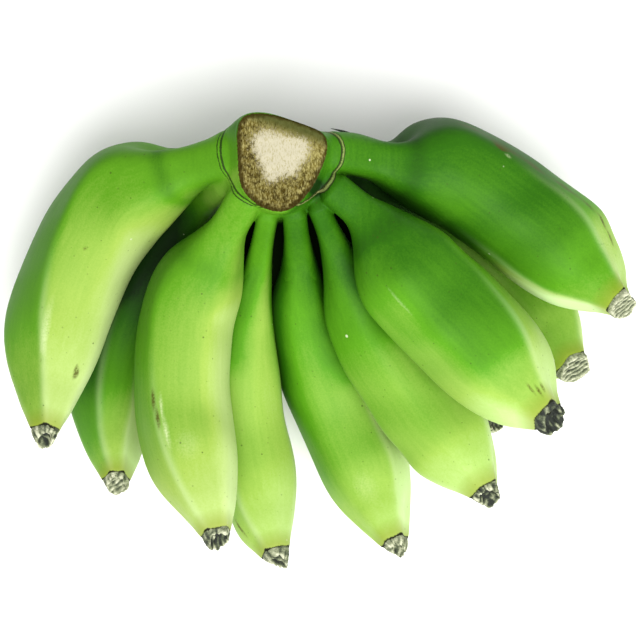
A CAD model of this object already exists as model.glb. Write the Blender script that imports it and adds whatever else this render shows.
import math
import bpy
import numpy as np
from mathutils import Matrix, Vector


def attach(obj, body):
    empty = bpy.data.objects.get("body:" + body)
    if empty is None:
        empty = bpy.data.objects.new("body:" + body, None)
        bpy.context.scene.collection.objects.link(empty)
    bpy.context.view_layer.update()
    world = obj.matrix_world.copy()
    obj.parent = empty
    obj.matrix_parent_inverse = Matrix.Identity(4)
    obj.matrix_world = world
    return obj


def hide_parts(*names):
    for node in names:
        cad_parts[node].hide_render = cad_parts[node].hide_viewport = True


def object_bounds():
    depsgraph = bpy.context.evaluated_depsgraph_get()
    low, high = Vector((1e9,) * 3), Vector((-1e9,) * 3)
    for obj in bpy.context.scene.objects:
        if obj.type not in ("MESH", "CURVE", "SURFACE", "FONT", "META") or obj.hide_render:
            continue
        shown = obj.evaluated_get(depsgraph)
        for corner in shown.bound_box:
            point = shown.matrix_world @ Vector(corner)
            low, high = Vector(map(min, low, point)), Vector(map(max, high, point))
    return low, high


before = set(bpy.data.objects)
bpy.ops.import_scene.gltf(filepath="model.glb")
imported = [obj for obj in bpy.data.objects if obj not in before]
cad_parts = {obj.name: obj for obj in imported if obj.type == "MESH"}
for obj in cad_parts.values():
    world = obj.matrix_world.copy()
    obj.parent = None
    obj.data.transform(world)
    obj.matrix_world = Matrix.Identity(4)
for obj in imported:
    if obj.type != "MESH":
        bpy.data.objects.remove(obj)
cadBox = [list(corner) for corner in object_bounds()]
print("frame loaded")

# Shapes are worked out in millimetres in the hand's own frame: x across the fan, y away from the fingers,
# z out of the crown's cut face. toWorld turns them back to the model's metres.
hand = {
    "lean": -10.4,  # degrees about x, as the hand rests
    "firstRoot": (-21.0, 4.0, -15.0),  # middle of finger_1's root
    "ringPoints": 15,  # points in each ring of a packed finger
}
leanTurn = np.array(Matrix.Rotation(math.radians(hand["lean"]), 3, "X"))


def smooth(value, low, high):
    share = np.clip((value - low) / (high - low), 0, 1)
    return share * share * (3 - 2 * share)


# A hill of height 1 at value 0.
def hill(value, spread):
    return np.exp(-(value / spread) ** 2)


def unit(vectors):
    return vectors / np.linalg.norm(vectors, axis=-1, keepdims=True)


def softMin(a, b, width):
    share = np.clip(0.5 + 0.5 * (b - a) / width, 0, 1)
    return b + (a - b) * share - width * share * (1 - share)


# A table's value at row i + u, and at column j plus the share v of the way to column k.
def blended(table, i, u, j, k, v):
    near = (1 - u) * table[i, j] + u * table[i + 1, j]
    return (1 - v) * near + v * ((1 - u) * table[i, k] + u * table[i + 1, k])


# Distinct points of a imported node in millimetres, and which of them an edge joins.
def packedPoints(name):
    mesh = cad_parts[name].data
    flat = np.empty(len(mesh.vertices) * 3)
    mesh.vertices.foreach_get("co", flat)
    points, which = np.unique((flat.reshape(-1, 3) * 1000).round(3), axis=0, return_inverse=True)
    ends = np.empty(len(mesh.edges) * 2, int)
    mesh.edges.foreach_get("vertices", ends)
    ends = which.reshape(-1)[ends].reshape(-1, 2)
    joined = np.zeros((len(points), len(points)), bool)
    joined[ends[:, 0], ends[:, 1]] = joined[ends[:, 1], ends[:, 0]] = True
    return points, joined


# The rings that a packed finger was lofted through, from its root to its tip.
def packedRings(n):
    points, joined = packedPoints(f"finger_{n}")
    flower = packedPoints(f"blossom_end_{n}")[0].mean(0)
    ring = np.argsort(np.linalg.norm(points - flower, axis=1))[:hand["ringPoints"]]
    left = np.ones(len(points), bool)
    rings = []
    while len(ring):
        left[ring] = False
        rings.append(points[ring])
        ring = np.flatnonzero(joined[ring].any(0) & left)
    return rings[::-1]


handAt = packedRings(1)[0].mean(0) - leanTurn @ np.array(hand["firstRoot"])


def toWorld(points):
    return (points @ leanTurn.T + handAt) / 1000


# Natural cubic spline through values at knots, read at other places.
def spline(knots, values, places):
    n, step = len(knots), np.diff(knots)
    shape, values = values.shape[1:], values.reshape(len(knots), -1)
    system, right = np.eye(n), np.zeros_like(values)
    for i in range(1, n - 1):
        system[i, i - 1:i + 2] = step[i - 1], 2 * (step[i - 1] + step[i]), step[i]
        right[i] = 6 * ((values[i + 1] - values[i]) / step[i] - (values[i] - values[i - 1]) / step[i - 1])
    bend = np.linalg.solve(system, right)
    j = np.clip(np.searchsorted(knots, places) - 1, 0, n - 2)
    x, h = (places - knots[j])[:, None], step[j][:, None]
    slope = (values[j + 1] - values[j]) / h - h * (2 * bend[j] + bend[j + 1]) / 6
    found = values[j] + x * (slope + x * (bend[j] / 2 + x * (bend[j + 1] - bend[j]) / (6 * h)))
    return found.reshape((len(places), *shape))


# Peel of every finger. Lengths are in mm.
peel = {
    "rowStep": 0.9,  # spacing of points along a finger
    "around": 144,  # points around a finger
    "cornerPower": 12,  # higher makes the five corners sharper
    "cornerShare": (0.58, 0.85),  # from round, 0, to five-sided, 1: at mid length and at the tip
    "cornersFrom": (0.12, 0.36),  # shares of the length over which the stalk turns into the fruit
    "sideBlend": 7,  # degrees to each side of a corner where the tones of its two sides meet
    "bluntHalf": 17,  # degrees to each side of a rounded corner
    "stalkPower": 3.0,  # above 2 the stalk's section is flatter than an ellipse
    "waves": 12,  # soft uneven swellings
    "waveHeight": 0.06,
    "waveStretch": (22, 70),
    "neckDip": (0.25, 6, 4),  # slight neck before the flower remnant: its depth, where it is and its spread
    "lipRound": 0.5,  # how much the rim at the flower remnant is rounded off
    "sun": ((0.6, -0.8, 0), 0.3, 0.15),  # direction of the sunny side, how much paler, and more at its edge
    "ridgeWidth": 1.6,  # half width of the paler line along a corner
    "patternShift": 2000,  # keeps the fingers' patterns apart
}

# ridges: the corners' angles in degrees at mid length, where 0 is a finger's left side as it points away
# from the crown and 90 faces the way the cut face does. twist: how far they turn along the finger. blunt:
# corners that are rounded off. swells: fuller places, each a share of the length, its spread, the angle that
# it faces and its height in mm. tones: how ripe the peel looks at toneShares of the length, 0 deep green and
# 1 pale yellow green. sides: how much riper each flat side is, from the first corner on, and sidesFrom: the
# shares of the length over which that sets in. creases: darker rings where the stalk ends, each its mm along,
# its spread and its depth. warm: how much yellower the green is.
toneShares = (0.05, 0.25, 0.5, 0.75, 0.95)
fingers = {
    1: {"ridges": (-38, 36, 104, 182, 252), "twist": -60, "blunt": [36], "creases": [(24, 3, 0.16)],
        "tones": (0.25, 0.4, 0.5, 0.62, 0.78), "sides": (0.15, 0, -0.16, -0.06, 0), "warm": 1,
        "swells": [(0.17, 0.065, 180, -4.2), (0.31, 0.07, 165, 1.5), (0.77, 0.1, 180, 1.8),
                   (0.9, 0.05, 180, -1)]},
    2: {"ridges": (-30, 56, 107, 178, 250), "twist": -14, "warm": 0.3,
        "tones": (0.48, -0.33, -0.1, 0.32, 0.72), "sides": (0.2, 0, -0.15, -0.1, 0),
        "swells": [(0.74, 0.08, 180, 2), (0.9, 0.07, 180, -1)]},
    3: {"ridges": (-28, 46, 118, 188, 258), "twist": -28, "blunt": [46], "creases": [(30, 4, 0.08)],
        "tones": (0.35, 0.36, 0.47, 0.58, 0.82), "sides": (0.32, 0, 0, 0, 0), "warm": 1,
        "swells": [(0.92, 0.08, 190, -2.7)]},
    4: {"ridges": (-50, 16, 68, 122, 210), "twist": -10, "blunt": [68], "warm": 0.3,
        "tones": (0.22, 0.42, 0.52, 0.6, 0.8), "sides": (0.15, 0, 0, -0.1, 0),
        "swells": [(0.72, 0.1, 0, 1), (0.9, 0.06, 180, 1.4)]},
    5: {"ridges": (-22, 51, 124, 194, 264), "blunt": [124],
        "tones": (0.05, 0.21, 0.39, 0.51, 0.76), "sides": (0.3, 0, -0.05, 0, 0),
        "swells": [(0.27, 0.1, 180, 2.2), (0.53, 0.11, 180, 1.1), (0.77, 0.05, 0, 1.8), (0.92, 0.06, 0, -2.4),
                   (0.92, 0.06, 180, -1.3)]},
    6: {"ridges": (-42, 30, 102, 174, 246), "blunt": [102],
        "tones": (0, 0.2, 0.42, 0.55, 0.78), "sides": (0.1, 0, 0, 0, 0),
        "swells": [(0.84, 0.08, 180, 0.7), (0.98, 0.04, 180, -0.8), (0.92, 0.07, 0, -2.6)]},
    7: {"ridges": (-64, 8, 80, 152, 224), "tones": (-0.33, -0.2, 0.1, 0.2, 0.3)},
    8: {"ridges": (-25, 47, 122, 191, 263), "twist": 40, "blunt": [122], "creases": [(23, 4, 0.1)],
        "tones": (0.02, 0.07, 0.06, 0.27, 0.64), "sides": (0.3, 0, 0.3, 0.2, 0), "sidesFrom": (0.12, 0.45),
        "swells": [(0.94, 0.08, 0, -4)]},
    9: {"ridges": (-52, 20, 92, 164, 236), "blunt": [92],
        "tones": (-0.33, 0.05, 0.4, 0.49, 0.58), "sides": (0.2, 0, 0, 0, 0),
        "swells": [(0.86, 0.07, 15, 1.8), (0.98, 0.05, 190, 3)]},
    10: {"ridges": (-32, 48, 105, 151, 196, 256), "blunt": [105, 196], "creases": [(30, 3, 0.12)],
         "tones": (0.08, 0.02, 0, 0.11, 0.38), "sides": (0.35, 0, 0, 1, 0.4, 0), "sidesFrom": (0.5, 0.85),
         "swells": [(0.07, 0.06, 0, 1.6), (0.203, 0.05, 5, -6.4), (0.33, 0.05, 5, 0.9), (0.4, 0.06, 20, 0.3),
                    (0.6, 0.17, 0, 1.7), (0.78, 0.09, 0, 3.4), (0.88, 0.04, 0, 1), (0.97, 0.045, 0, -2.8),
                    (0.93, 0.06, 180, -2)]},
}


# Directions along a line of middles: ahead, to its side and to its top.
def directions(middles):
    ahead = unit(np.gradient(middles, axis=0))
    side = unit(np.cross([0, 0, 1], ahead))
    return ahead, side, np.cross(ahead, side)


# Middles of a packed finger's rings in the hand's frame, and the points of each in order from its side.
def orderedRings(n):
    rings = [(ring - handAt) @ leanTurn for ring in packedRings(n)]
    centres = np.array([ring.mean(0) for ring in rings])
    _, side, top = directions(centres)
    ordered = []
    for ring, centre, s, t in zip(rings, centres, side, top):
        angle = np.arctan2((ring - centre) @ t, (ring - centre) @ s)
        order = np.argsort(angle)
        ordered.append(ring[np.roll(order, -np.argmin(np.abs(angle[order])))])
    return centres, np.array(ordered)


# Radius of a five-cornered section with rounded corners on the unit circle, at angles in degrees. Each side
# is a flat whose middle and half width are angles, and a blunt corner is one more, narrow flat.
def cornered(angles, ridges, blunt):
    corners = np.radians(np.append(ridges, ridges[0] + 360))
    middles, halves = (corners[1:] + corners[:-1]) / 2, np.diff(corners) / 2
    middles = np.append(middles, np.radians(blunt))
    halves = np.append(halves, np.full(len(blunt), math.radians(peel["bluntHalf"])))
    facing = np.cos(np.radians(angles)[..., None] - middles) / np.cos(halves)
    return (np.clip(facing, 1e-3, None) ** peel["cornerPower"]).sum(-1) ** (-1 / peel["cornerPower"])


# Radius of the fruit and its stalk around each row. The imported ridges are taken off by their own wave.
def sectionRadius(look, share, angles, turned, radius):
    fade = smooth(share, *peel["cornersFrom"])
    middleShare, tipShare = peel["cornerShare"]
    strength = fade * (middleShare + (tipShare - middleShare) * smooth(share, 0.75, 1))
    five = np.fft.rfft(radius, axis=1)[:, 5]
    packed = 2 * (five[:, None] * np.exp(5j * np.radians(angles))).real / peel["around"]
    corner = cornered(turned, np.array(look["ridges"], float), look.get("blunt", []))
    shaped = (radius - packed) * (1 + strength * (corner / corner.mean(1, keepdims=True) - 1))
    turns, quarter, power = np.radians(angles), peel["around"] // 4, peel["stalkPower"]
    across = np.abs(np.cos(turns)) * radius / radius[:, :1]
    up = np.abs(np.sin(turns)) * radius / radius[:, quarter:quarter + 1]
    shaped *= 1 + (1 - fade) * ((across ** power + up ** power) ** (-1 / power) - 1)
    for where, spread, facing, amount in look.get("swells", ()):
        lobe = np.clip(np.cos(np.radians(angles - facing)), 0, 1) ** 4
        shaped += amount * lobe * hill(share - where, spread)
    return shaped


# How much riper each place is for the flat side that it lies on, blended across the corners.
def toneOfSides(look, share, turned, isSharp):
    corners = np.array(look["ridges"])
    sides = np.array(look.get("sides", corners * 0))
    halves = np.where(isSharp, peel["sideBlend"], peel["bluntHalf"])
    stops = np.column_stack([corners - halves, corners + halves]).ravel()
    tones = np.column_stack([np.roll(sides, 1), sides]).ravel()
    return np.interp(turned, stops, tones, period=360) * smooth(share, *look.get("sidesFrom", (0.2, 0.6)))


# Points, middles and directions of a finger's peel, row by row from the root to the tip.
def fingerPeel(n):
    look = fingers[n]
    centres, ordered = orderedRings(n)
    wave = np.fft.rfft(ordered, axis=1)
    rounds = np.fft.irfft(wave, n=peel["around"], axis=1) * peel["around"] / hand["ringPoints"]
    knots = np.append(0, np.cumsum(np.linalg.norm(np.diff(centres, axis=0), axis=1)))
    length = knots[-1]
    along = np.linspace(0, length, round(length / peel["rowStep"]) + 1)
    middle, skin = spline(knots, centres, along), spline(knots, rounds, along)
    ahead, side, top = directions(middle)

    share, angles = (along / length)[:, None], np.linspace(0, 360, peel["around"], endpoint=False)[None]
    turned = angles - look.get("twist", 0) * (share - 0.7)
    radial = skin - middle[:, None]
    radius = np.linalg.norm(radial, axis=2)
    shaped = sectionRadius(look, share, angles, turned, radius)
    chance = np.random.default_rng(40 + n)
    for _ in range(peel["waves"]):
        turns, stretch = chance.integers(0, 4), chance.uniform(*peel["waveStretch"])
        phase = 2 * math.pi * along[:, None] / stretch + turns * np.radians(angles)
        phase = phase + chance.uniform(0, 2 * math.pi)
        shaped += peel["waveHeight"] * smooth(share, 0.1, 0.3) * np.cos(phase)
    fromTip = length - along[:, None]
    dip, where, spread = peel["neckDip"]
    shaped -= dip * hill(fromTip - where, spread)
    shaped -= peel["lipRound"] * np.clip(1 - fromTip / 1.2, 0, 1) ** 2
    skin = middle[:, None] + radial / radius[..., None] * shaped[..., None]

    isSharp = ~np.isin(look["ridges"], look.get("blunt", []))
    gap = (turned[..., None] - np.array(look["ridges"])[isSharp] + 180) % 360 - 180
    slopes = np.roll(skin, -1, axis=1) - np.roll(skin, 1, axis=1), np.gradient(skin, axis=0)
    return {
        "n": n, "along": along, "length": length, "middle": middle, "ahead": ahead, "side": side, "top": top,
        "skin": skin, "radius": shaped, "angles": angles[0], "normals": unit(np.cross(*slopes)),
        "ridgeGap": np.radians(np.abs(gap).min(-1)) * shaped,  # mm from the nearest sharp corner
        "sideTone": toneOfSides(look, share, turned, isSharp),
    }


peels = {n: fingerPeel(n) for n in fingers}
print("finger shapes worked out")

# The peel stays deeper green where it lies close under a neighbour.
closeness = {
    "step": 6,  # of so many points one is looked at, and the rest lie between
    "skipped": 300,  # points at a neighbour's tip that are left out
    "reach": 7, "amount": 0.4, "from": (12, 28),
}


# How close each of the points lies under others, 0 to 1.
def closenessOf(points, others):
    tones = []
    for part in np.array_split(points, 12):
        gap = others[None] - part[:, None]
        distance = np.sqrt((gap ** 2).sum(-1))
        rising = smooth(gap[..., 2] / (distance + 1e-6), -0.3, 0.3)
        tones.append((hill(distance, closeness["reach"]) * rising).max(1))
    return np.concatenate(tones)


def addCloseness():
    step = closeness["step"]
    coarse = {n: shape["skin"][::step, ::step].reshape(-1, 3).astype(np.float32)
              for n, shape in peels.items()}
    for n, shape in peels.items():
        others = np.vstack([coarse[m][:-closeness["skipped"]] for m in peels if m != n])
        rows, around = shape["skin"].shape[:2]
        grid = closenessOf(coarse[n], others).reshape(-1, around // step)
        grid = np.column_stack([grid, grid[:, :1]])
        down, right = np.arange(rows) / step, np.arange(around) / step
        down, i = down[:, None], np.minimum(down.astype(int), len(grid) - 2)[:, None]
        j = right.astype(int)
        close = blended(grid, i, np.clip(down - i, 0, 1), j, j + 1, right - j)
        shape["close"] = close * smooth(shape["along"], *closeness["from"])[:, None]


addCloseness()
print("closeness worked out")

# The crown and the joined stalks. Lengths are in mm in the hand's frame, and directions in degrees.
crown = {
    "rim": [(-14.5, 17.5), (-7, 18.5), (5, 15.5), (16, 9.5), (14, -3), (8, -13), (1, -18), (-8, -16.5),
            (-15, -10), (-17, 3)],
    # depth below the face, then width and length against it
    "levels": [(0, 1, 1), (1.2, 1.02, 1.01), (8, 1.24, 1.02), (14, 1.4, 1.04), (24, 1.45, 1.06),
               (34, 1.36, 1), (42, 1.05, 0.78), (46, 0.62, 0.45)],
    # edge of the pale middle of the cut face
    "cream": [(-11.4, 8.6), (-9.4, 11.4), (-4, 11.8), (2, 10.2), (9.2, 8), (9.8, 4), (6.6, -1), (4, -4.6),
              (-1, -5.4), (-5, -7), (-7.6, -2.4), (-10.2, 3)],
    # direction, then distance of the bract's scar below the rim
    "collar": [(-90, -3), (-76, -2), (-64, 1.2), (-56, 2.6), (-48, 3.6), (-33, 5.6), (-17, 6.7), (0, 7.6),
               (13, 7.3), (32, 5.5), (60, 5), (90, 6), (120, 8), (150, 9.5), (172, 9.4), (185, 8.3), (197, 6),
               (209, 4), (223, 2.2), (236, 0.9), (248, -2), (270, -3)],
    "collarDepthShare": 0.4,
    # direction, then how brown the cut face is: most where the knife came out, least where it went in
    "brown": [(-180, 0.62), (-130, 0.5), (-90, 0.58), (-50, 0.5), (-10, 0.18), (40, 0.2), (90, 0.18),
              (140, 0.45), (180, 0.62)],
    "cell": 0.7,  # spacing of the points
    "coarse": 4,  # cells in a step of the first, coarse look
    "seam": 26, "reach": 33,  # along a stalk: the finger's own peel takes over between these
    "under": 8,  # how far before the seam the finger's own peel starts
    "sink": 0.5,  # how far one of the two lies below the other where they pass
    "margin": 14, "front": -22, "back": 24, "top": 3,  # room around the stalks, and how far the crown goes
    "room": 22,  # how far from the middle of a stalk its distance is worked out
    "settling": (3, 0.05),  # times that the points are moved onto the surface, and the step of its slope
    "stalkBlend": (2.2, 5.5), "neighbourBlend": 0.9, "edgeBlend": 0.9, "webBlend": 0.5,  # softness of joints
    "tail": (12, 0.7),  # how far a stalk goes on behind its root, and how fast it narrows there
    "rise": {2: 12, 3: 4, 4: 13, 5: 12, 6: 6, 10: 2},  # how far a deep stalk's back reaches up to the rim
    "riseEnd": 28,
    "webs": [(3, 4, 7), (4, 5, 3.4), (5, 6, 5), (6, 8, 5.5)],  # two stalks, and half the gap their web fills
    "webDepth": 1.5, "webEnd": 42,
    "trims": [(-0.63, 0.77, 24), (0.36, 0.93, 16.3)],  # straight sides: their direction and distance
    "faceRelief": 0.05,
    "scar": (0.35, 0.3, 1.4),  # depth and width of the scar's two grooves, and the space between them
    "scarSwell": 0.3, "scarEnd": (8, 4),  # its swelling, and how far from the crown's lump it fades
    "shades": [(12.5, -9, 3, -0.8), (-17.5, 14, 5, -0.2), (-19, -4, 4, 0.12)],  # place, reach, change of tone
}


# Points of a closed smooth line through a few corners.
def closedLine(corners, count):
    corners = np.array(corners, float)
    around = np.vstack([corners[-3:], corners, corners[:3]])
    steps = np.append(0, np.cumsum(np.linalg.norm(np.diff(around, axis=0), axis=1)))
    return spline(steps, around, np.linspace(steps[3], steps[3 + len(corners)], count, endpoint=False))


# Distance of plan points to a closed line, less than 0 inside it.
def planDistance(points, line):
    nearest, inside = np.full(len(points), 1e9), np.zeros(len(points), bool)
    for a, b in zip(line, np.roll(line, -1, axis=0)):
        edge = b - a
        offset = points - a
        share = np.clip((offset @ edge) / (edge @ edge), 0, 1)
        nearest = np.minimum(nearest, ((offset - share[:, None] * edge) ** 2).sum(1))
        crosses = ((a[1] > points[:, 1]) != (b[1] > points[:, 1]))
        inside ^= crosses & (offset[:, 0] < edge[0] * offset[:, 1] / (edge[1] + 1e-12))
    return np.sqrt(nearest) * np.where(inside, -1, 1)


rimLine = closedLine(crown["rim"], 90)
creamLine = closedLine(crown["cream"], 60)
levels = np.array(crown["levels"], float)
faceWaves = np.random.default_rng(7).uniform(0, 1, (14, 4))
fullTurn = 6.3  # in radians, near enough for random phases


# Distance to the crown's own lump.
def lumpField(points):
    depth = np.clip(-points[:, 2], 0, levels[-1, 0])
    wide, long = (np.interp(depth, levels[:, 0], levels[:, i]) for i in (1, 2))
    lateral = planDistance(points[:, :2] / np.column_stack([wide, long]), rimLine) * np.minimum(wide, long)
    relief = np.zeros(len(points))
    for turn, pace, start, size in faceWaves:
        across = points[:, 0] * math.cos(fullTurn * turn) + points[:, 1] * math.sin(fullTurn * turn)
        relief += size * np.sin(across * fullTurn / (1.8 + 4 * pace) + fullTurn * start)
    face = points[:, 2] - crown["faceRelief"] * relief
    for x, y, limit in crown["trims"]:
        lateral = -softMin(-lateral, limit - points[:, :2] @ (x, y), 2)
    bottom = -levels[-1, 0] - points[:, 2]
    return -softMin(-np.maximum(lateral, bottom), -face, crown["edgeBlend"])


# Rows of a finger's peel that the crown needs to know.
def stalkRows():
    return round((crown["webEnd"] + 4) / peel["rowStep"])


# Distance to a finger's stalk, how far along the finger that is, the distance to its peel however far along,
# the height above its middle, and how close the peel there is to a neighbour.
def stalkField(points, shape):
    rows, spacing = stalkRows(), shape["along"][1]
    middle = shape["middle"][:rows]
    # the back of the stalk is swept up towards the rim near its root
    below = ((middle[:, :2] ** 2).sum(1) - 2 * points[:, :2] @ middle[:, :2].T).argmin(1)
    plan = shape["ahead"][below, :2]
    below = below + ((points - middle[below])[:, :2] * plan).sum(1) / (plan ** 2).sum(1) / spacing
    rise = crown["rise"].get(shape["n"], 0) * smooth(-below * spacing, -crown["riseEnd"], 0)
    lowered = points.copy()
    lowered[:, 2] -= np.clip(points[:, 2] - np.interp(below, np.arange(rows), middle[:, 2]), 0, rise)

    near = ((middle ** 2).sum(1) - 2 * lowered @ middle.T).argmin(1)
    offset = lowered - middle[near]
    place = near + (offset * shape["ahead"][near]).sum(1) / spacing
    across, height = (offset * shape["side"][near]).sum(1), (offset * shape["top"][near]).sum(1)
    row = np.clip(place, 0, rows - 1.001)
    column = np.arctan2(height, across) / (2 * math.pi) * peel["around"] % peel["around"]
    i, j = row.astype(int), column.astype(int) % peel["around"]
    u, v = row - i, column - column.astype(int)
    radius = blended(shape["radius"], i, u, j, (j + 1) % peel["around"], v)
    along = place * spacing
    tail, narrowing = crown["tail"]
    radius = np.maximum(radius - narrowing * np.maximum(-along, 0), 0.5)
    radius = radius - crown["sink"] * smooth(along, crown["seam"], crown["reach"])
    side = np.hypot(across, height) - radius
    beyond = np.maximum(along - crown["reach"], -along - tail)
    outside = np.hypot(np.maximum(side, 0), np.maximum(beyond, 0))
    tone = (1 - u) * shape["close"][i, j] + u * shape["close"][i + 1, j]
    return np.where(beyond > 0, outside, np.maximum(side, beyond)), along, side, height, tone


# Distance to the blended crown. With detail also the distance to its lump and to each stalk, how far along
# each finger that is, and how far it is to a web.
def crownField(points, detail=False):
    lump = lumpField(points)
    low, high = crown["stalkBlend"]
    blend = low + (high - low) * smooth(points[:, 1], -14, 0)
    field, found = lump, {}
    for n, shape in peels.items():
        reach = shape["middle"][:stalkRows()]
        corners = reach.min(0) - crown["room"], reach.max(0) + crown["room"]
        some = np.flatnonzero(((points > corners[0]) & (points < corners[1])).all(1))
        found[n] = np.full((5, len(points)), 60.0)
        if len(some):
            found[n][:, some] = stalkField(points[some], shape)
        field = softMin(field, softMin(lump, found[n][0], blend), crown["neighbourBlend"])
    web = np.full(len(points), 30.0)
    for a, b, width in crown["webs"]:
        along, side = (found[a][1:3] + found[b][1:3]) / 2
        height = np.maximum(found[a][3], found[b][3])
        sheet = np.maximum(side - width, height + crown["webDepth"])
        web = np.minimum(web, np.maximum(sheet, along - crown["webEnd"]))
    field = softMin(field, web, crown["webBlend"])
    if not detail:
        return field
    return field, lump, web, np.array([found[n] for n in found])


# Quads over the surface where the field is 0, one point in each cell that it crosses.
def netOver(field, low, cell):
    inside = field < 0
    shape = np.array(field.shape) - 1
    corners = [(i, j, k) for i in (0, 1) for j in (0, 1) for k in (0, 1)]
    whole = inside.astype(np.int8)
    counts = sum(whole[i:i + shape[0], j:j + shape[1], k:k + shape[2]] for i, j, k in corners)
    at = np.argwhere((counts > 0) & (counts < 8))
    total, hits = np.zeros((len(at), 3)), np.zeros(len(at))
    for a in corners:
        for axis in range(3):
            if a[axis]:
                continue
            b = tuple(a[i] + (i == axis) for i in range(3))
            first, second = field[tuple((at + a).T)], field[tuple((at + b).T)]
            cut = (first < 0) != (second < 0)
            share = np.where(cut, first / np.where(cut, first - second, 1), 0)
            place = at + np.array(a) + share[:, None] * (np.arange(3) == axis)
            total += np.where(cut[:, None], place, 0)
            hits += cut
    points = total / hits[:, None] * cell + low
    number = np.full(shape, -1)
    number[tuple(at.T)] = np.arange(len(at))
    quads = []
    for axis in range(3):
        u, v = [i for i in range(3) if i != axis]
        first = inside.take(range(0, field.shape[axis] - 1), axis)
        second = inside.take(range(1, field.shape[axis]), axis)
        found = np.argwhere(first != second)
        found = found[((found[:, [u, v]] > 0) & (found[:, [u, v]] < shape[[u, v]])).all(1)]
        out = first[tuple(found.T)]
        e, f = np.eye(3, dtype=int)[u], np.eye(3, dtype=int)[v]
        ring = [number[tuple((found - shift).T)] for shift in (0 * e, e, e + f, f)]
        face = np.column_stack(ring)
        flip = out if axis != 1 else ~out
        quads.append(np.where(flip[:, None], face, face[:, ::-1]))
    return points, np.vstack(quads)


def crownMesh():
    cell, coarse = crown["cell"], crown["coarse"]
    rows = round(crown["reach"] / peel["rowStep"]) + 2
    stalks = np.vstack([shape["middle"][:rows] for shape in peels.values()])
    low, high = stalks.min(0) - crown["margin"], stalks.max(0) + crown["margin"]
    low[1], high[1:] = min(low[1], crown["front"]), (crown["back"], crown["top"])
    blocks = np.ceil((high - low) / (cell * coarse)).astype(int)
    first = np.stack(np.meshgrid(*[np.arange(b + 1) for b in blocks], indexing="ij"), -1).reshape(-1, 3)
    rough = crownField(first * cell * coarse + low).reshape(blocks + 1)
    near = np.repeat(np.repeat(np.repeat(rough, coarse, 0), coarse, 1), coarse, 2)
    shift = coarse // 2
    near = near[shift:-shift, shift:-shift, shift:-shift]
    field = near.copy()
    wanted = np.argwhere(np.abs(near) < cell * (coarse * 0.9 + 1.2))
    field[tuple(wanted.T)] = crownField(wanted * cell + low)
    points, quads = netOver(field, low, cell)
    times, step = crown["settling"]
    for _ in range(times):
        here, slope = crownField(points), np.empty_like(points)
        for axis in range(3):
            nudge = step * (np.arange(3) == axis)
            slope[:, axis] = (crownField(points + nudge) - here) / step
        size = (slope ** 2).sum(1)
        points = points - np.clip(here / np.maximum(size, 0.2), -0.3, 0.3)[:, None] * slope
    return points, quads, unit(slope)


# A mesh piece of the hand, with values kept at its points for its material.
def addPiece(name, points, faces, values, material, replaced):
    mesh = bpy.data.meshes.new(name)
    spots = toWorld(points)
    spots[:, 2] = np.maximum(spots[:, 2], 0)  # flattened a little where it lies
    mesh.from_pydata(spots.tolist(), [], [face for group in faces for face in group.tolist()])
    for key, data in values.items():
        flat = np.asarray(data, np.float32)
        kind, field = ("FLOAT_VECTOR", "vector") if flat.ndim == 2 else ("FLOAT", "value")
        mesh.attributes.new(key, kind, "POINT").data.foreach_set(field, flat.ravel())
    mesh.shade_smooth()
    mesh.materials.append(material)
    piece = bpy.data.objects.new(name, mesh)
    bpy.context.scene.collection.objects.link(piece)
    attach(piece, "root")
    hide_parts(*replaced)


# Faces of a closed tube of rows of points, with a middle point at each end.
def tubeFaces(rows, around):
    number = np.arange(rows * around).reshape(rows, around)
    after = np.roll(number, -1, axis=1)
    quads = np.stack([number[:-1], after[:-1], after[1:], number[1:]], -1).reshape(-1, 4)
    first, last = rows * around, rows * around + 1
    start = np.column_stack([after[0], number[0], np.full(around, first)])
    end = np.column_stack([number[-1], after[-1], np.full(around, last)])
    return [quads, start, end]


def linear(colour):
    parts = [int(colour[i:i + 2], 16) / 255 for i in (1, 3, 5)]
    return tuple(p / 12.92 if p <= 0.04045 else ((p + 0.055) / 1.055) ** 2.4 for p in parts) + (1.0,)


def emptyMaterial(name):
    material = bpy.data.materials.new(name)
    material.use_nodes = True
    material.node_tree.nodes.clear()
    return material


# Adds a node. A link gives an input a value, a socket, or a node, whose first output in use is meant.
def addNode(tree, kind, links=None, **settings):
    node = tree.nodes.new("ShaderNode" + kind)
    for key, value in settings.items():
        setattr(node, key, value)
    for socket, source in (links or {}).items():
        if isinstance(source, bpy.types.Node):
            source = next(output for output in source.outputs if output.enabled)
        if isinstance(source, bpy.types.NodeSocket):
            tree.links.new(source, node.inputs[socket])
        else:
            node.inputs[socket].default_value = source
    return node


# Values kept at a mesh's points, by their names.
def kept(tree, *names):
    return {name: addNode(tree, "Attribute", attribute_name=name).outputs["Fac"] for name in names}


# Adds to a value some others, each times its share.
def summed(tree, total, *parts):
    for source, share in parts:
        total = addNode(tree, "Math", {0: source, 1: share, 2: total}, operation="MULTIPLY_ADD")
    return total


# Lays colours of a look over a base, each as strongly as its share says.
def layered(tree, base, look, *coats):
    for share, hue in coats:
        base = addNode(tree, "Mix", {0: share, 6: base, 7: linear(look[hue])}, data_type="RGBA")
    return base


# Spreads colours along a ramp node, the first at its start and the last at its end.
def spreadColours(ramp, stops):
    elements = ramp.color_ramp.elements
    for place, hue in stops:
        stop = elements.new(place) if 0 < place < 1 else elements[0 if place == 0 else -1]
        stop.color = linear(hue)


# Ends a material with its relief, depth mm high, and its shader.
def shaded(material, surface, height, strength, depth):
    tree = material.node_tree
    bump = addNode(tree, "Bump", {"Height": height, "Strength": strength, "Distance": depth / 1000})
    shader = addNode(tree, "BsdfPrincipled", {**surface, "Normal": bump})
    addNode(tree, "OutputMaterial", {"Surface": shader})
    return material


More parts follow.
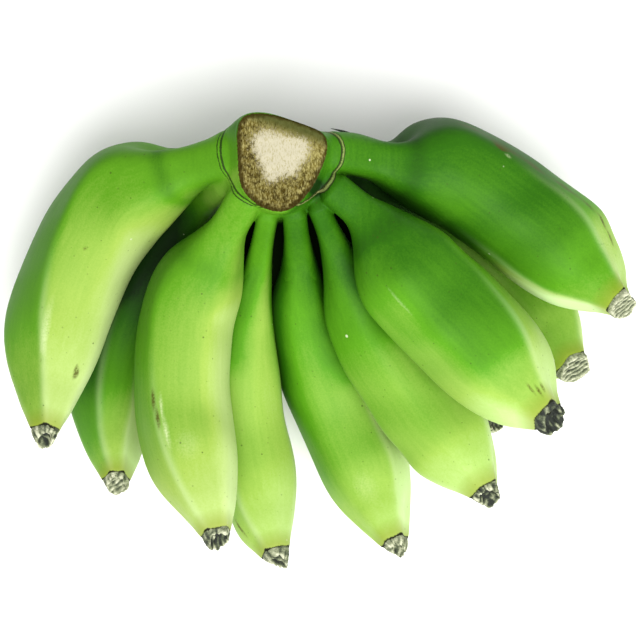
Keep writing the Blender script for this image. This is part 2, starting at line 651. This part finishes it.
# The place on the object in mm.
def placeInMm(tree):
    place = addNode(tree, "TexCoord").outputs["Object"]
    return addNode(tree, "VectorMath", {0: place, "Scale": 1000.0}, operation="SCALE")


# Unripe banana peel: satin, slightly waxy skin over green flesh. The wax gives a soft sheen and a pale bloom,
# most of all along the corners. Sizes are in mm.
peelLook = {
    "ripening": ("#102c07", "#275b06", "#4e8915", "#8aab46", "#abc679", "#bfd897"),  # at tones of -1/3 to 4/3
    "warmTint": "#fff7fb", "bloom": "#b3c791", "tip": "#7b8525", "join": "#171909",
    "fleck": "#333f10", "dust": "#c9d1ad", "scar": "#423c0b", "graze": "#c9d3a4",
    "roughness": 0.48, "ior": 1.42, "shine": 0.1,
    "mottle": (16, 0.08), "streak": (1.6, 0.11), "grain": (0.7, 0.14),  # size, and how much of the tone it is
    # spacing of dried spots, the largest one's radius against it, and their strength
    "spots": [("fleck", 4.5, 0.11, 0.6), ("dust", 12, 0.07, 0.75), ("fleck", 2.6, 0.17, 0.3)],
    "spotted": 0.6,  # share of the cells that have a spot
    "bumpHeight": 0.05,
}


# How strongly dried spots show at a place. Each cell has a spot of its own size, and chance leaves some out.
def spotShare(tree, inMm, spacing, largest, strength):
    cells = addNode(tree, "TexVoronoi", {"Vector": inMm, "Scale": 1 / spacing})
    chosen = addNode(tree, "SeparateColor", {0: cells.outputs["Color"]})
    reach = addNode(tree, "Math", {0: chosen, 1: largest}, operation="MULTIPLY")
    nearness = addNode(tree, "Math", {0: reach, 1: cells}, operation="SUBTRACT")
    spot = addNode(tree, "MapRange", {0: nearness, 2: 0.02})
    some = addNode(tree, "Math", {0: chosen.outputs[1], 1: peelLook["spotted"]}, operation="LESS_THAN")
    both = addNode(tree, "Math", {0: spot, 1: some}, operation="MULTIPLY")
    return addNode(tree, "Math", {0: both, 1: strength}, operation="MULTIPLY")


# Colour, roughness and relief of the peel, from the values kept at the points, then the place and the grain.
def peelNodes(tree, look):
    inMm = placeInMm(tree)
    values = kept(tree, "tone", "warm", "fromTip", "ridge", "scar")
    onPeel = addNode(tree, "Attribute", attribute_name="onPeel").outputs["Vector"]
    stretched = addNode(tree, "VectorMath", {0: onPeel, 1: (1.0, 1.0, 0.05)}, operation="MULTIPLY")
    patterns = {}
    for name, place, detail in (("mottle", inMm, 3.0), ("streak", stretched, 2.0), ("grain", inMm, 2.0)):
        settings = {"Vector": place, "Scale": 1 / look[name][0], "Detail": detail}
        patterns[name] = addNode(tree, "TexNoise", settings)
    grain = patterns["grain"]

    tone = summed(tree, values["tone"], *[(pattern, look[name][1]) for name, pattern in patterns.items()])
    offset = sum(look[name][1] for name in patterns) / 2
    tone = addNode(tree, "MapRange", {0: tone, 1: offset - 1 / 3, 2: offset + 4 / 3})
    ripening = addNode(tree, "ValToRGB", {0: tone})
    spreadColours(ripening, [(i / 5, hue) for i, hue in enumerate(look["ripening"])])
    colour = addNode(tree, "Mix", {0: values["warm"], 6: ripening, 7: linear(look["warmTint"])},
                     data_type="RGBA", blend_type="MULTIPLY")

    waxy = addNode(tree, "MapRange", {0: tone, 3: 0.15, 4: 0.5})
    bloom = addNode(tree, "Math", {0: values["ridge"], 1: waxy}, operation="MULTIPLY")
    spots = [(spotShare(tree, inMm, *size), hue) for hue, *size in look["spots"]]
    # olive tint before the flower remnant, and the thin dark edge that it leaves
    uneven = summed(tree, values["fromTip"], (grain, -0.7), (values["ridge"], -0.5))
    olive = addNode(tree, "MapRange", {0: uneven, 1: 0.5, 2: 6.5, 3: 0.7, 4: 0.0})
    join = addNode(tree, "MapRange", {0: uneven, 1: 0.1, 2: 0.45, 3: 1.0, 4: 0.0})
    marked = addNode(tree, "Math", {0: values["scar"], 1: grain}, operation="MULTIPLY")
    scar = addNode(tree, "MapRange", {0: marked, 1: 0.1, 2: 0.4, 4: 0.85})
    graze = addNode(tree, "MapRange", {0: marked, 1: -0.02, 2: -0.5, 4: 0.85})
    colour = layered(tree, colour, look, (bloom, "bloom"), *spots, (olive, "tip"), (join, "join"),
                     (scar, "scar"), (graze, "graze"))

    rough = addNode(tree, "MapRange", {0: patterns["mottle"], 1: 0.3, 2: 0.7,
                                       3: look["roughness"] - 0.06, 4: look["roughness"] + 0.08})
    return colour, rough, summed(tree, grain, (patterns["streak"], 0.6)), inMm, grain


def peelMaterial():
    look = peelLook
    material = emptyMaterial("unripe banana peel")
    colour, rough, height, *_ = peelNodes(material.node_tree, look)
    surface = {"Base Color": colour, "Roughness": rough,
               "IOR": look["ior"], "Specular IOR Level": look["shine"]}
    return shaded(material, surface, height, 0.35, look["bumpHeight"])


# Cut banana crown: the wet fibres dried pale in the middle and brown where sap ran to the edge. Sizes in mm.
crownLook = {
    "cream": "#aea890", "creamStreak": "#8b8358", "straw": "#69602a", "paleStraw": "#938b57",
    "brown": "#46390f", "umber": "#2c230a", "olive": "#3f4420",
    "scarLine": "#192509", "scarTan": "#8e8d59", "gap": "#040902",
    "scarLines": [(0.2, 0.42), (0.25, 0.24)],  # place from a groove, and half width
    "lineStrength": 0.85,
    "fibreSize": 0.55, "clumpSize": 1.6,
    "roughness": 0.85, "bumpHeight": 0.35,
}


# Colour of the cut face: golden straw with brown fibres, a cream middle, and olive skin at the back edge.
def cutFaceNodes(tree, look, inMm, values):
    stretched = addNode(tree, "VectorMath", {0: inMm, 1: (1.0, 0.32, 1.0)}, operation="MULTIPLY")
    fibre = addNode(tree, "TexNoise", {"Vector": stretched, "Scale": 1 / look["fibreSize"], "Detail": 3.0,
                                       "Roughness": 0.7})
    clump = addNode(tree, "TexNoise", {"Vector": inMm, "Scale": 1 / look["clumpSize"], "Detail": 4.0,
                                       "Roughness": 0.6})

    pale = addNode(tree, "MapRange", {0: fibre, 1: 0.4, 2: 0.62})
    straw = layered(tree, linear(look["straw"]), look, (pale, "paleStraw"))
    browns = addNode(tree, "MapRange", {0: clump, 1: 0.4, 2: 0.6})
    dark = layered(tree, linear(look["brown"]), look, (browns, "umber"))
    amount = summed(tree, values["brown"], (clump, 1.5), (fibre, -2.4))
    share = addNode(tree, "MapRange", {0: amount, 1: -0.42, 2: 0.42, 4: 0.95})
    colour = addNode(tree, "Mix", {0: share, 6: straw, 7: dark}, data_type="RGBA")

    streaks = addNode(tree, "MapRange", {0: fibre, 1: 0.5, 2: 0.34, 4: 0.75})
    cream = layered(tree, linear(look["cream"]), look, (streaks, "creamStreak"))
    edge = summed(tree, values["creamGap"], (clump, 5.0), (fibre, 13.0))
    inside = addNode(tree, "MapRange", {0: edge, 1: 7.9, 2: 10.1, 3: 1.0, 4: 0.0})
    colour = addNode(tree, "Mix", {0: inside, 6: colour, 7: cream}, data_type="RGBA")

    back = summed(tree, values["back"], (fibre, 0.8))
    olive = addNode(tree, "MapRange", {0: back, 1: 0.6, 2: 1.25, 4: 0.9})
    rim = summed(tree, values["rimGap"], (values["brown"], 2.2), (clump, 2.5))
    atRim = addNode(tree, "MapRange", {0: rim, 1: 0.3, 2: 1.6, 4: 0.85})
    return layered(tree, colour, look, (olive, "olive"), (atRim, "umber")), fibre


# The scar of the bract: two thin lines, and a corky band between them on one side.
def scarCoats(tree, look, grain, values):
    space = crown["scar"][2]
    ragged = summed(tree, values["collarGap"], (grain, 0.5))
    band = addNode(tree, "Math", {0: ragged, 1: space / 2 + 0.25, 2: space / 2}, operation="COMPARE")
    for share in (values["palerScar"], grain):
        band = addNode(tree, "Math", {0: band, 1: share}, operation="MULTIPLY")
    coats = [(band, "scarTan")]
    for groove, (place, half) in zip((0, space), look["scarLines"]):
        line = addNode(tree, "Math", {0: ragged, 1: groove + place, 2: half}, operation="COMPARE")
        line = addNode(tree, "Math", {0: line, 1: look["lineStrength"]}, operation="MULTIPLY")
        coats.append((line, "scarLine"))
    return coats


def crownMaterial():
    look = crownLook
    material = emptyMaterial("cut banana crown")
    tree = material.node_tree
    colour, rough, height, inMm, grain = peelNodes(tree, peelLook)
    values = kept(tree, "rimGap", "creamGap", "collarGap", "back", "palerScar", "brown", "gap")
    colour = layered(tree, colour, look, (values["gap"], "gap"), *scarCoats(tree, look, grain, values))

    face, fibre = cutFaceNodes(tree, look, inMm, values)
    rim = summed(tree, values["rimGap"], (grain, 0.8))
    onFace = addNode(tree, "MapRange", {0: rim, 1: 0.5, 2: 0.8, 3: 1.0, 4: 0.0})
    colour = addNode(tree, "Mix", {0: onFace, 6: colour, 7: face}, data_type="RGBA")
    dull = addNode(tree, "Math", {0: onFace, 1: values["gap"]}, operation="MAXIMUM")
    rough = addNode(tree, "Mix", {0: dull, 2: rough, 3: look["roughness"]})
    shine = addNode(tree, "MapRange", {0: dull, 3: peelLook["shine"], 4: 0.0})
    faceHeight = addNode(tree, "Math", {0: fibre, 1: look["bumpHeight"] / peelLook["bumpHeight"]},
                         operation="MULTIPLY")
    height = addNode(tree, "Mix", {0: onFace, 2: height, 3: faceHeight})
    surface = {"Base Color": colour, "Roughness": rough, "IOR": peelLook["ior"], "Specular IOR Level": shine}
    return shaded(material, surface, height, 0.6, peelLook["bumpHeight"])


# Dried flower remnant: papery, shrunken tissue, pale on its folds and nearly black in its pits. Sizes in mm.
flowerLook = {
    "depths": [(0, "#bdbfa3"), (0.3, "#7f8466"), (0.55, "#444d33"), (0.85, "#0d1608"), (1, "#0d1608")],
    "roughness": 0.75, "grainSize": 0.6, "bumpHeight": 0.3,
}


def flowerMaterial():
    look = flowerLook
    material = emptyMaterial("dried flower remnant")
    tree = material.node_tree
    inMm = placeInMm(tree)
    grain = addNode(tree, "TexNoise", {"Vector": inMm, "Scale": 1 / look["grainSize"], "Detail": 3.0})
    depth = summed(tree, kept(tree, "pit")["pit"], (grain, 0.7))
    depth = addNode(tree, "MapRange", {0: depth, 1: 0.25, 2: 1.35})
    colour = addNode(tree, "ValToRGB", {0: depth})
    spreadColours(colour, look["depths"])
    surface = {"Base Color": colour, "Roughness": look["roughness"]}
    return shaded(material, surface, grain, 0.6, look["bumpHeight"])


greenPeel, cutCrown, driedFlower = peelMaterial(), crownMaterial(), flowerMaterial()
print("materials made")


# How ripe the peel of a finger is along its length.
def toneAt(n, along):
    tone = np.interp(along / peels[n]["length"], toneShares, fingers[n]["tones"])
    for place, spread, depth in fingers[n].get("creases", ()):
        tone = tone - depth * hill(along - place, spread)
    return tone


# Peel is paler on the side that grew towards the sun.
def sunTone(normals, along):
    towards, amount, atEdge = peel["sun"]
    facing = normals @ unit(np.array(towards, float))
    return (amount * facing + atEdge * smooth(facing, 0.55, 1)) * smooth(along, 5, 50)


# Marks on the peel of each finger: mm along it, the angle in degrees, half length and half width in mm, and
# strength: over 0 a brown scar, under 0 a pale graze.
marks = {
    1: [(134, 42, 3, 1.2, 0.9), (131, 47, 2, 0.7, 0.7), (131, 100, 2.5, 0.9, 0.5), (72, 85, 1.2, 1, 0.6),
        (118, 98, 14, 1.4, -0.4)],
    3: [(91, 122, 5, 1, 0.9), (100, 117, 5, 1.1, 0.9), (96, 113, 6, 0.7, -0.6), (107, 110, 6, 0.8, -0.6),
        (115, 88, 7, 5, -0.15)],
    4: [(142, 160, 5, 1, 0.8)],
    5: [(138, 100, 9, 5, -0.15)],
    8: [(117, 84, 3, 0.6, 0.7), (119, 74, 2.5, 0.6, 0.8), (119, 64, 2, 0.6, 0.7), (47, 122, 6, 0.6, -0.25)],
    10: [(61, 45, 2.2, 1.2, 1.3), (63, 38, 8, 2.6, 0.6), (50, 33, 5, 2, 0.5), (77, 35, 6, 2.4, 0.65),
         (92, 32, 7, 2, 0.65), (104, 29, 5, 1.6, 0.6), (113, 24, 4, 1, 1), (121, 20, 4, 1, 0.9),
         (64, 49, 1.5, 0.7, -0.6), (122, 36, 12, 5, -0.15)],
}


def marksOn(n, shape):
    found = np.zeros(shape["radius"].shape)
    for place, angle, long, wide, strength in marks.get(n, ()):
        off = np.radians((shape["angles"] - angle + 180) % 360 - 180) * shape["radius"]
        found += strength * hill(shape["along"][:, None] - place, long) * hill(off, wide)
    return found


def ridgeValue(shape):
    share = (shape["along"] / shape["length"])[:, None]
    return hill(shape["ridgeGap"], peel["ridgeWidth"]) * smooth(share, 0.4, 0.82)


# A finger's own peel, which starts a little under the joined stalks.
def addFinger(n, shape):
    start = int((crown["seam"] - crown["under"]) / peel["rowStep"])
    along, middle, skin = (shape[key][start:] for key in ("along", "middle", "skin"))
    rows, around = skin.shape[:2]
    lowered = crown["sink"] * (1 - smooth(along, along[0], crown["seam"]))
    skin = skin - unit(skin - middle[:, None]) * lowered[:, None, None]
    points = np.vstack([skin.reshape(-1, 3), middle[:1], middle[-1:]])
    angles, radius = np.radians(shape["angles"]), shape["radius"][start:]
    onPeel = np.stack([np.cos(angles) * radius, np.sin(angles) * radius,
                       np.repeat(along[:, None] + peel["patternShift"] * n, around, 1)], -1).reshape(-1, 3)

    # values for the points: the same around each row, or their own and 0 at the two end points
    def byRow(row):
        return np.append(np.repeat(row, around), [row[0], row[-1]])

    def byPoint(grid):
        return np.append(grid[start:].ravel(), [0, 0])

    own = sunTone(shape["normals"], shape["along"][:, None]) + shape["sideTone"]
    values = {
        "tone": byRow(toneAt(n, along)) + byPoint(own - closeness["amount"] * shape["close"]),
        "fromTip": byRow(shape["length"] - along), "warm": np.full(len(points), fingers[n].get("warm", 0)),
        "ridge": byPoint(ridgeValue(shape)), "scar": byPoint(marksOn(n, shape)),
        "onPeel": np.vstack([onPeel, onPeel[:1], onPeel[-1:]]),
    }
    addPiece(f"banana_{n}", points, tubeFaces(rows, around), values, greenPeel, [f"finger_{n}"])


for n, shape in peels.items():
    addFinger(n, shape)
print("fingers built")


# Distance of the crown's points below the upper groove of the bract's scar.
def collarGapAt(points, rimGap):
    collar = np.array(crown["collar"], float)
    direction = np.degrees(np.arctan2(points[:, 1], points[:, 0]))
    wrapped = np.where(direction < -90, direction + 360, direction)
    below = np.maximum(rimGap, 0) + crown["collarDepthShare"] * -points[:, 2]
    return below - np.interp(wrapped, collar[:, 0], collar[:, 1])


def brownAt(points):
    brown = np.array(crown["brown"], float)
    off = points[:, :2] - creamLine.mean(0)
    return np.interp(np.degrees(np.arctan2(off[:, 1], off[:, 0])), brown[:, 0], brown[:, 1])


# Each stalk's tone, blended into the next by how near the points are to each.
def crownTone(points, normals, onLump, found):
    distances, alongs, close = found[:, 0], found[:, 1], found[:, 4]
    weights = np.exp(-np.clip(distances - distances.min(0), 0, 20) / 1.5)
    weights /= weights.sum(0)
    tones = np.array([toneAt(n, alongs[n - 1]) for n in fingers])
    tones -= closeness["amount"] * np.where(close < 2, close, 0)
    for x, y, reach, change in crown["shades"]:
        tones += change * hill(np.hypot(points[:, 0] - x, points[:, 1] - y), reach) * onLump
    warmth = np.array([fingers[n].get("warm", 0) for n in fingers])
    return (weights * tones).sum(0) + sunTone(normals, (weights * alongs).sum(0)), warmth @ weights


def addCrown():
    points, quads, normals = crownMesh()
    _, lump, web, found = crownField(points, detail=True)
    onLump = smooth(lump, *crown["scarEnd"])
    tone, warm = crownTone(points, normals, onLump, found)
    rimGap, creamGap = planDistance(points[:, :2], rimLine), planDistance(points[:, :2], creamLine)
    collarGap = collarGapAt(points, rimGap)
    depth, width, space = crown["scar"]
    grooves = hill(collarGap, width) + hill(collarGap - space, width)
    swell = crown["scarSwell"] * hill(collarGap - space / 2, space)
    points = points + normals * (onLump * (swell - depth * grooves))[:, None]
    none = np.zeros(len(points))
    values = {
        "tone": tone, "warm": warm, "fromTip": none + 90, "ridge": none, "scar": none,
        "onPeel": points[:, [0, 2, 1]],
        "rimGap": rimGap - np.minimum(points[:, 2] + 1.2, 0), "creamGap": creamGap,
        "collarGap": np.where(lump > crown["scarEnd"][0], 9, collarGap),  # 9 is well below the scar
        "palerScar": smooth(points[:, 0], -5, 5),
        "back": smooth(points[:, 1] + 0.35 * points[:, 0], 8, 17), "brown": brownAt(points),
        "gap": smooth(web, 1.5, 0.2) * smooth(lump, 0.5, 3),
    }
    addPiece("crown_and_stalks", points, [quads], values, cutCrown, ["crown"])
    print("crown built:", len(points), "points")


addCrown()

# A thin torn sliver of dry peel at the crown's edge, in mm from its base through a bend to its point.
sliver = {
    "path": [(29, 10.6, -15.2), (24.5, 12.8, -14.4), (18.2, 14.4, -13.2)], "bend": 0.45,
    "radius": 0.95, "flat": 0.4, "rows": 16, "around": 12, "pit": 0.95,
}


def addSliver():
    share = np.linspace(0, 1, sliver["rows"])[:, None]
    middle = spline(np.array([0, sliver["bend"], 1.0]), np.array(sliver["path"]), share[:, 0])
    turns = np.linspace(0, 2 * math.pi, sliver["around"], endpoint=False)
    reach = sliver["radius"] * (1.03 - share) ** 0.8
    across, up = reach * np.cos(turns), reach * np.sin(turns)
    points = middle[:, None] + np.stack([sliver["flat"] * across, up, 2 * sliver["flat"] * across], -1)
    points = np.vstack([points.reshape(-1, 3), middle[:1], middle[-1:]])
    faces, values = tubeFaces(sliver["rows"], sliver["around"]), {"pit": np.full(len(points), sliver["pit"])}
    addPiece("torn_peel", points, faces, values, driedFlower, [])


addSliver()

# What is left of the flower on each tip, in mm: a short dried wall, torn at its edge, around a hollow.
flower = {
    "around": 120, "rows": 60, "wallRows": 28, "start": -1.2,
    "wallBulge": 0.05, "wrinkle": 0.25, "folds": 0.35, "foldPace": 1.9,
    "rough": (0.1, 0.06),  # unevenness along the finger and across it
    "foldPaces": (0.8, 2.4), "roughPaces": (2, 6), "blotchPaces": (0.6, 1.9),  # slowest and fastest waves
}

# Mean height of the wall, its width at the edge as a share of the tip's, how uneven the edge is, depth of the
# hollow as a share of the height, where the edge is higher, in degrees, and by how much, its hue from 0, pale
# and dry, to 1, black, how strongly its creases show, and whether its end face is one set of folds.
remnantKeys = ("long", "end", "torn", "hollow", "lean", "hue", "contrast", "folded")
remnants = {
    1: (4, 0.6, 0.18, 0.7, (240, 0.5), 0.42, 0.8, False),
    2: (2.9, 0.8, 0.1, 0.25, (270, 0.5), 0.3, 0.45, False),
    3: (3.3, 0.76, 0.32, 0.8, (230, 0.5), 0.48, 0.8, False),
    4: (3.9, 0.62, 0.34, 0.5, (320, 0.5), 0.42, 0.6, False),
    5: (3.8, 0.48, 0.2, 0.4, (300, 0.5), 0.36, 0.45, False),
    6: (3.3, 0.76, 0.28, 0.9, (290, 0.55), 0.52, 0.8, False),
    7: (3, 0.65, 0.25, 0.7, (0, 0.1), 0.45, 0.7, False),
    8: (3.3, 0.8, 0.28, 0.9, (240, 0.45), 0.8, 0.7, False),
    9: (2.3, 0.94, 0.1, 0.25, (280, 0.5), 0.3, 0.6, True),
    10: (2.4, 0.95, 0.1, 0.22, (300, 0.45), 0.25, 0.55, True),
}


# Sum of a few random waves over coordinates, about -1 to 1.
def waves(chance, count, paces, *coordinates):
    total = 0
    for _ in range(count):
        pace = [chance.uniform(*paces) * chance.choice((-1, 1)) for _ in coordinates]
        total = total + np.cos(sum(p * c for p, c in zip(pace, coordinates)) + chance.uniform(0, fullTurn))
    return total / math.sqrt(count)


# Rows of a remnant: out along the wall, over its edge, and into the hollow. For each its distance out and its
# width, and how much it is on the end face, on the outside and at the rim.
def remnantRows(look, tall):
    wall = np.linspace(0, 1, flower["wallRows"])
    inner = np.linspace(0, 1, flower["rows"] - flower["wallRows"])[1:]
    start, mean = flower["start"], tall.mean()
    out = np.concatenate([start + (tall - start) * wall[:, None],
                          mean * (1 - look["hollow"] * smooth(inner, 0, 0.5)[:, None])
                          + (tall - mean) * (1 - inner[:, None])])
    wallWidth = 1 + flower["wallBulge"] * np.sin(wall * 3.14) - (1 - look["end"]) * wall ** 1.3
    shares = [(wallWidth, look["end"] * (1 - inner)), (0 * wall, smooth(inner, 0, 0.12)),
              (smooth(wall, 0.2, 0.5), 1 - smooth(inner, 0, 0.12)),
              (smooth(wall, 0.7, 1), 1 - smooth(inner, 0, 0.2))]
    return out, *[np.concatenate(share)[:, None] for share in shares]


# Points and faces of a remnant, and how deep in a pit each point looks.
def remnantMesh(n, shape):
    look, chance = dict(zip(remnantKeys, remnants[n])), np.random.default_rng(90 + n)
    folded = look["folded"]
    angles = np.linspace(0, 2 * math.pi, flower["around"], endpoint=False)
    lip = shape["radius"][-1] + peel["lipRound"]
    size = np.interp(angles, np.radians(shape["angles"]), lip, period=2 * math.pi)
    torn = sum(np.cos(k * angles + chance.uniform(0, fullTurn)) / k ** 0.4 for k in (2, 3, 5, 8, 13)) / 2
    where, amount = look["lean"]
    tall = 1 + look["torn"] * torn + amount * np.cos(angles - math.radians(where))
    out, width, onFace, outside, rim = remnantRows(look, look["long"] * np.maximum(tall, 0.15))

    turn = angles + 0.25 * smooth(out, 0, 5) * chance.uniform(-1, 1)
    crease = sum(np.cos(k * turn + chance.uniform(0, fullTurn)) for k in chance.integers(2, 10, 6)) / 1.7
    crease = 2 * np.abs(np.tanh(crease)) - 1
    radius = width * size + flower["wrinkle"] * crease * outside * smooth(width, 0, 0.3)
    x, y = radius * np.cos(angles), radius * np.sin(angles)
    turn = 1.5 if folded else chance.uniform(0, 3.1)
    across, along = x * math.cos(turn) + y * math.sin(turn), y * math.cos(turn) - x * math.sin(turn)
    fold = np.cos(across * 2 * math.pi / flower["foldPace"] + 1.3 * np.sin(0.7 * along + turn) + turn)
    fold = 0.6 * fold + (0.3 if folded else 0.5) * waves(chance, 6, flower["foldPaces"], x, y)
    out = out + flower["folds"] * fold * onFace
    rough = waves(chance, 12, flower["roughPaces"], x, y, out)
    along, across = flower["rough"]
    out, x, y = out + along * rough * outside, x + across * rough, y + across * rough
    points = shape["middle"][-1] + out[..., None] * shape["ahead"][-1] + x[..., None] * shape["side"][-1] \
        + y[..., None] * shape["top"][-1]

    hollow = onFace * look["hollow"] * smooth(width, look["end"], 0.3 * look["end"])
    blotch = (0.3 if folded else 1) * waves(chance, 10, flower["blotchPaces"], x, y, out)
    marked = 0.55 * hollow + 0.3 * blotch - 0.35 * rim - 0.6 * fold * onFace
    marked = marked - (0.15 if folded else 0.35) * crease * outside
    pit = look["hue"] + look["contrast"] * marked
    points = np.vstack([points.reshape(-1, 3), points[0].mean(0), points[-1].mean(0)])
    pit = np.append(pit.ravel(), [0.5, pit[-1].mean()])
    return points, tubeFaces(flower["rows"] - 1, flower["around"]), pit


for n, shape in peels.items():
    points, faces, pit = remnantMesh(n, shape)
    addPiece(f"flower_{n}", points, faces, {"pit": pit}, driedFlower, [f"blossom_end_{n}"])
print("flower remnants built")

# Lengths on the stage are in metres, except the camera's place.
studio = {
    "cameraAt": (14.06, -59.66, 760.0),  # mm in the hand's frame, looking straight down its z
    "lens": 112.5,
    "floorSize": 8,
    "floor": "#f4f4f2",
    "sky": {"from": (0.5, -0.7, 0.5), "dark": 0.75, "bright": 1.35},
    "lights": [
        # direction from the middle of the hand, distance and size in metres, power in watts
        {"name": "key", "from": (0.22, -0.34, 1.2), "distance": 1.1, "size": 1.0, "power": 15.5},
    ],
}


def addCamera():
    lens = bpy.data.cameras.new("camera")
    lens.lens, lens.sensor_width = studio["lens"], 36
    lens.clip_start, lens.clip_end = 0.01, 20
    camera = bpy.data.objects.new("camera", lens)
    place = Matrix(leanTurn.tolist()).to_4x4()
    place.translation = toWorld(np.array([studio["cameraAt"]]))[0].tolist()
    camera.matrix_world = place
    bpy.context.scene.collection.objects.link(camera)
    bpy.context.scene.camera = camera


def addLights():
    middle = Vector((np.array(cadBox).sum(0) / 2).tolist())
    for light in studio["lights"]:
        away = Vector(light["from"]).normalized()
        lamp = bpy.data.lights.new(light["name"], "AREA")
        lamp.shape, lamp.size, lamp.energy = "DISK", light["size"], light["power"]
        holder = bpy.data.objects.new(light["name"], lamp)
        holder.matrix_world = Matrix.Translation(middle + away * light["distance"]) \
            @ away.to_track_quat("Z", "Y").to_matrix().to_4x4()
        bpy.context.scene.collection.objects.link(holder)


# A soft white surround, brighter on the side that the main light comes from.
def addSky():
    sky = studio["sky"]
    world = bpy.data.worlds.new("studio")
    bpy.context.scene.world = world
    world.use_nodes = True
    tree = world.node_tree
    place = addNode(tree, "TexCoord").outputs["Generated"]
    towards = Vector(sky["from"]).normalized()
    facing = addNode(tree, "VectorMath", {0: place, 1: towards}, operation="DOT_PRODUCT")
    power = addNode(tree, "MapRange", {0: facing, 1: -0.5, 2: 1.0, 3: sky["dark"], 4: sky["bright"]},
                    interpolation_type="SMOOTHSTEP")
    background = tree.nodes["Background"]
    background.inputs["Color"].default_value = (1, 1, 1, 1)
    tree.links.new(power.outputs[0], background.inputs["Strength"])


def addFloor():
    bpy.ops.mesh.primitive_plane_add(size=studio["floorSize"])
    floor = bpy.context.active_object
    floor.name = "floor"
    paint = bpy.data.materials.new("matt white board")
    paint.use_nodes = True
    board = paint.node_tree.nodes["Principled BSDF"]
    board.inputs["Base Color"].default_value = linear(studio["floor"])
    board.inputs["Roughness"].default_value = 0.9
    floor.data.materials.append(paint)


addCamera()
addLights()
addSky()
addFloor()
bpy.context.scene.view_settings.view_transform = "Standard"
print("studio set")
